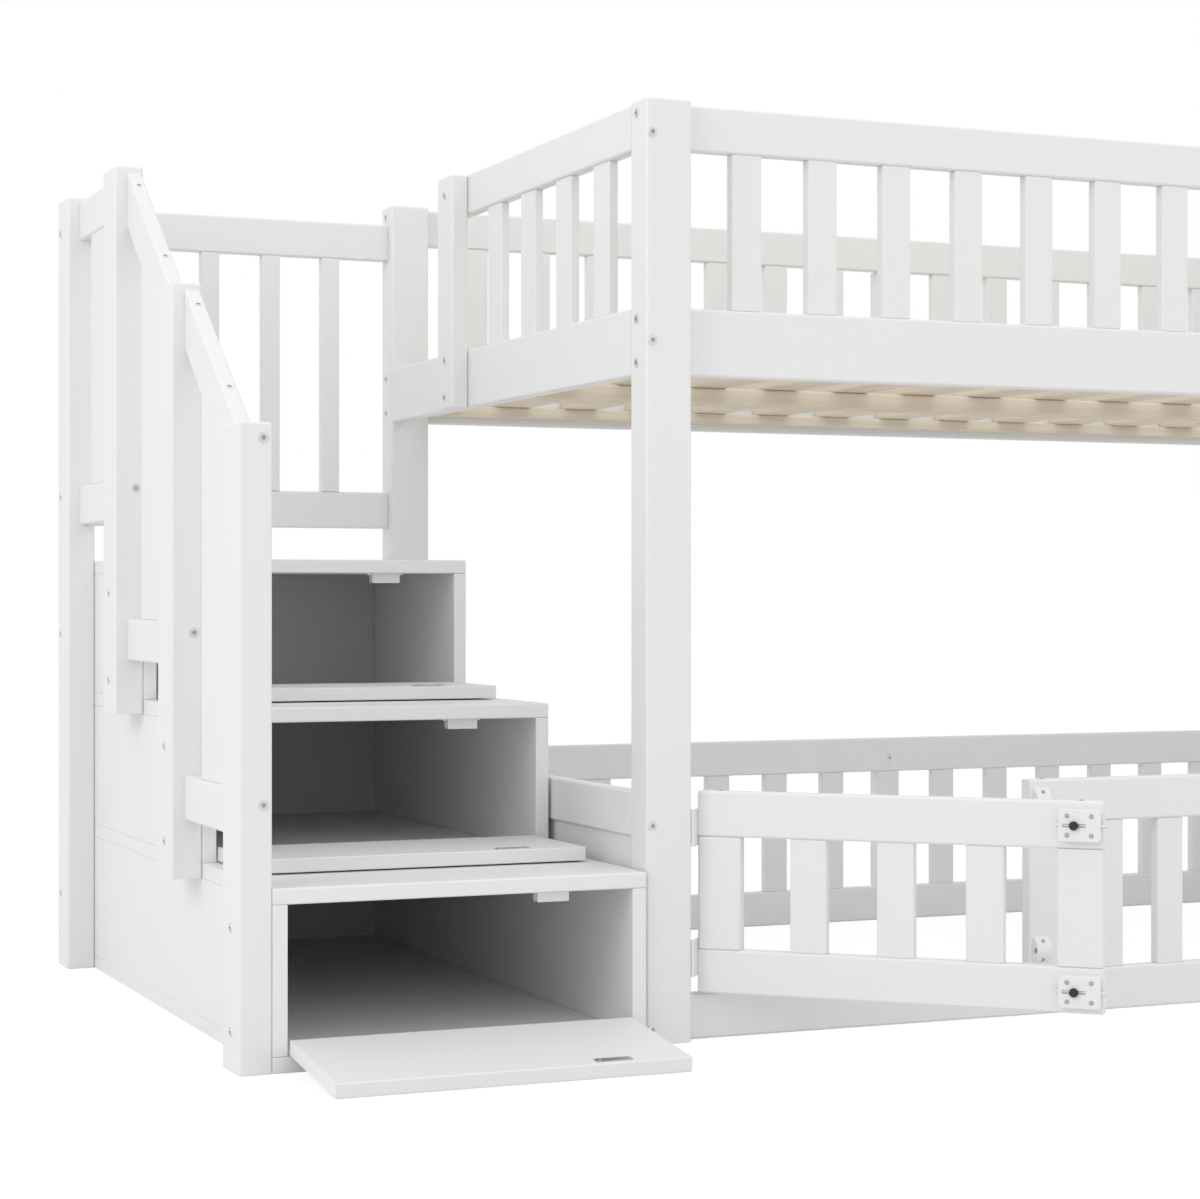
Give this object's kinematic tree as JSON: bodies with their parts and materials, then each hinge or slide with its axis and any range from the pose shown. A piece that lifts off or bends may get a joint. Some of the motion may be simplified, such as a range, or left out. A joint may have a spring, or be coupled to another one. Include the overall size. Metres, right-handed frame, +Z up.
{
  "type": "bunk bed",
  "caption": "Low twin bunk bed with slatted guards, a floor-level gated lower bunk and a guarded storage stair with drop-down step fronts.",
  "frame": {"origin": "middle of the whole bounding box, on the floor", "axes": "+X along the bed from the stair end to the far end, +Y from the gate side to the back, +Z up"},
  "size_m": [2.5432, 1.445, 1.271],
  "materials": {
    "white_paint": "satin white paint over wood",
    "pine": "bare planed pine",
    "steel": "zinc-plated steel",
    "white_plastic": "moulded white plastic",
    "black_plastic": "moulded black plastic"
  },
  "bodies": {
    "frame": {"front_left_post": "white_paint", "rear_left_post": "white_paint", "front_right_post": "white_paint", "rear_right_post": "white_paint", "entry_post": "white_paint", "upper_front_guard_rail": "white_paint", "upper_side_boards": "white_paint", "upper_front_guard_slats": "white_paint", "upper_rear_guard_rail": "white_paint", "upper_rear_guard_slats": "white_paint", "upper_end_guard_rails": "white_paint", "upper_end_boards": "white_paint", "upper_end_guard_slats": "white_paint", "base_cleats": "pine", "centre_beam": "white_paint", "bed_slats": "pine", "front_sill": "white_paint", "fence_rail": "white_paint", "fence_stile": "white_paint", "fence_slats": "white_paint", "lower_rear_rails": "white_paint", "lower_rear_slats": "white_paint", "lower_end_rails": "white_paint", "lower_end_boards": "white_paint", "gate_hinge_post_leaves": "steel", "latch_keepers": "white_plastic", "stair_base_board": "white_paint", "stair_left_panels": "white_paint", "stair_right_panels": "white_paint", "stair_back_panels": "white_paint", "stair_treads": "white_paint", "flap_hinge_cabinet_leaves": "steel", "flap_catches": "white_plastic", "stair_post_1": "white_paint", "stair_post_2": "white_paint", "stair_post_3": "white_paint", "stair_rear_post": "white_paint", "stair_low_rails": "white_paint", "handrails": "white_paint", "stair_guard_slats": "white_paint", "stair_top_rail": "white_paint", "back_guard_rails": "white_paint", "back_guard_slats": "white_paint", "joint_bolts": "steel"},
    "gate": {"gate_rails": "white_paint", "gate_stiles": "white_paint", "gate_slats": "white_paint", "gate_hinge_leaves": "steel", "latch_blocks": "white_plastic"},
    "lower_latch": {"lower_latch_bolt": "steel", "lower_latch_knob": "black_plastic"},
    "upper_latch": {"upper_latch_bolt": "steel", "upper_latch_knob": "black_plastic"},
    "flap_1": {"flap_1_fittings": "steel", "flap_1": "white_paint"},
    "flap_2": {"flap_2_fittings": "steel", "flap_2": "white_paint"},
    "flap_3": {"flap_3_fittings": "steel", "flap_3": "white_paint"}
  },
  "joints": [
    {"name": "flap_1_hinge", "type": "hinge", "parent": "frame", "child": "flap_1", "pos_m": [-0.9674, -0.37154, 0.0232], "axis": [-1, 0, 0], "range_deg": [0, 97.07]},
    {"name": "flap_2_hinge", "type": "hinge", "parent": "frame", "child": "flap_2", "pos_m": [-0.9674, -0.03454, 0.2357], "axis": [-1, 0, 0], "range_deg": [0, 90]},
    {"name": "flap_3_hinge", "type": "hinge", "parent": "frame", "child": "flap_3", "pos_m": [-0.9674, 0.30246, 0.4482], "axis": [-1, 0, 0], "range_deg": [0, 90]},
    {"name": "gate_hinge", "type": "hinge", "parent": "frame", "child": "gate", "pos_m": [-0.6334, -0.35854, 0.201], "axis": [0, 0, 1], "range_deg": [-47.5, 42.5]},
    {"name": "lower_latch_slide", "type": "slide", "parent": "gate", "child": "lower_latch", "axis": [0.7373, -0.6756, 0], "range_m": [-0.012, 0.012]},
    {"name": "upper_latch_slide", "type": "slide", "parent": "gate", "child": "upper_latch", "axis": [0.7373, -0.6756, 0], "range_m": [-0.012, 0.012]}
  ]
}
